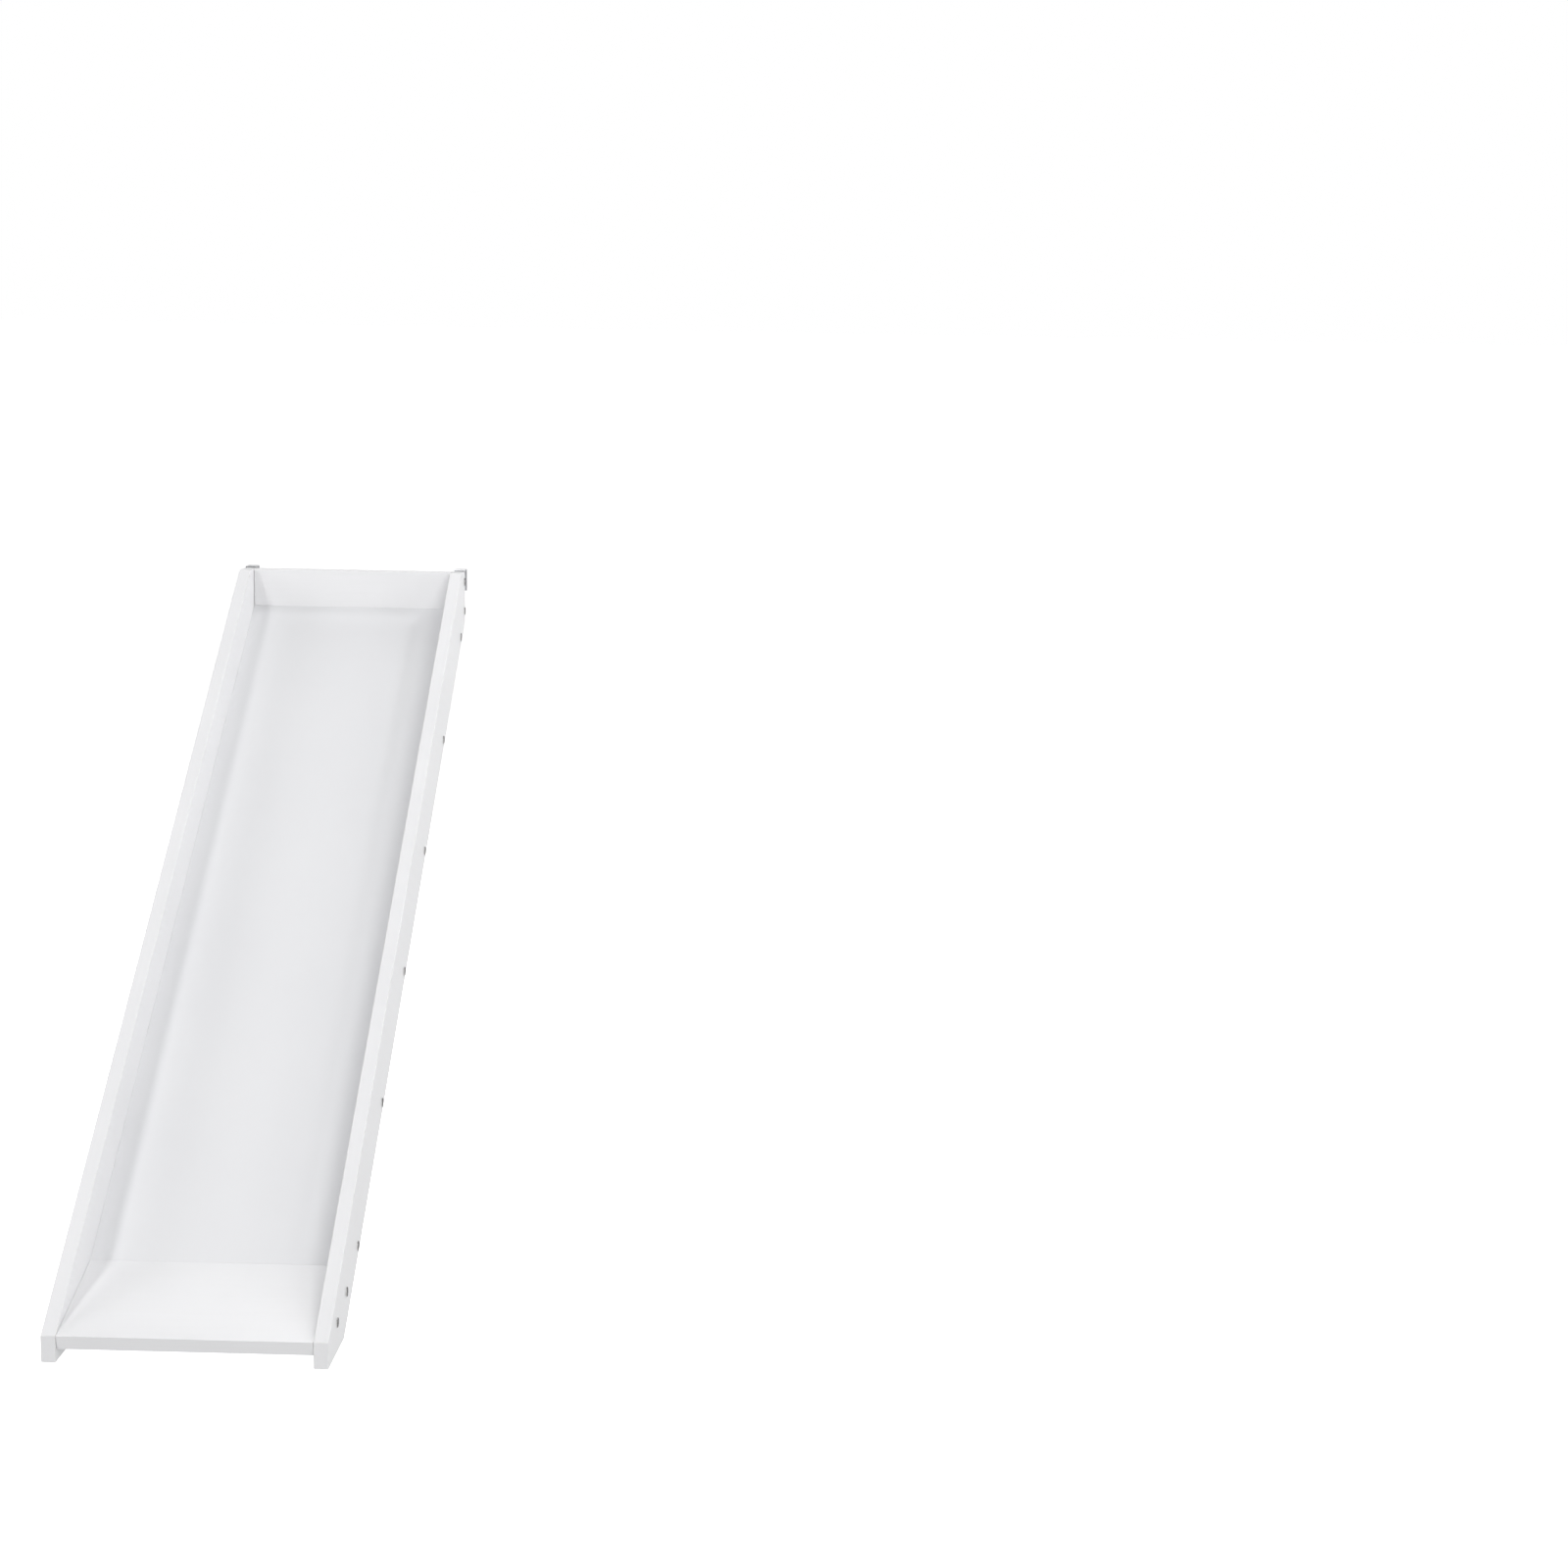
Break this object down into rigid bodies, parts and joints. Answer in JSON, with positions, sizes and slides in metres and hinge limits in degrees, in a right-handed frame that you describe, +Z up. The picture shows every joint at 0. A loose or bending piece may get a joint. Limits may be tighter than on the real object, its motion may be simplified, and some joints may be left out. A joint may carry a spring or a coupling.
{
  "type": "straight slide",
  "caption": "Straight wooden slide for a low loft bed: side rails, sliding panel on battens, flatter landing board, head board and steel hooks.",
  "frame": {"origin": "on the floor, at the centre of the overall box seen from above", "axes": "+X to the right seen from the foot, +Y back towards the bed and up the slide, +Z up"},
  "size_m": [0.3446, 1.2064, 0.843],
  "materials": {
    "painted_pine": "satin white paint on pine boards",
    "painted_panel": "smooth satin white paint on a thin board",
    "nickel_bolt": "nickel plated, satin",
    "zinc_nut": "bright zinc plated",
    "steel_hook": "zinc plated strip"
  },
  "bodies": {
    "root": {"side_rail_left": "painted_pine", "side_rail_right": "painted_pine", "sliding_panel": "painted_panel", "landing_board": "painted_pine", "head_board": "painted_pine", "batten_1": "painted_pine", "batten_2": "painted_pine", "batten_3": "painted_pine", "batten_4": "painted_pine", "batten_5": "painted_pine", "batten_6": "painted_pine", "landing_1_bolt_left": "nickel_bolt", "landing_1_nut_left": "zinc_nut", "landing_1_bolt_right": "nickel_bolt", "landing_1_nut_right": "zinc_nut", "landing_2_bolt_left": "nickel_bolt", "landing_2_nut_left": "zinc_nut", "landing_2_bolt_right": "nickel_bolt", "landing_2_nut_right": "zinc_nut", "batten_1_bolt_left": "nickel_bolt", "batten_1_nut_left": "zinc_nut", "batten_1_bolt_right": "nickel_bolt", "batten_1_nut_right": "zinc_nut", "batten_2_bolt_left": "nickel_bolt", "batten_2_nut_left": "zinc_nut", "batten_2_bolt_right": "nickel_bolt", "batten_2_nut_right": "zinc_nut", "batten_3_bolt_left": "nickel_bolt", "batten_3_nut_left": "zinc_nut", "batten_3_bolt_right": "nickel_bolt", "batten_3_nut_right": "zinc_nut", "batten_4_bolt_left": "nickel_bolt", "batten_4_nut_left": "zinc_nut", "batten_4_bolt_right": "nickel_bolt", "batten_4_nut_right": "zinc_nut", "batten_5_bolt_left": "nickel_bolt", "batten_5_nut_left": "zinc_nut", "batten_5_bolt_right": "nickel_bolt", "batten_5_nut_right": "zinc_nut", "batten_6_bolt_left": "nickel_bolt", "batten_6_nut_left": "zinc_nut", "batten_6_bolt_right": "nickel_bolt", "batten_6_nut_right": "zinc_nut", "head_1_bolt_left": "nickel_bolt", "head_1_nut_left": "zinc_nut", "head_1_bolt_right": "nickel_bolt", "head_1_nut_right": "zinc_nut", "head_2_bolt_left": "nickel_bolt", "head_2_nut_left": "zinc_nut", "head_2_bolt_right": "nickel_bolt", "head_2_nut_right": "zinc_nut", "hook_left": "steel_hook", "hook_screw_left_1": "zinc_nut", "hook_screw_left_2": "zinc_nut", "hook_right": "steel_hook", "hook_screw_right_1": "zinc_nut", "hook_screw_right_2": "zinc_nut"}
  },
  "joints": []
}
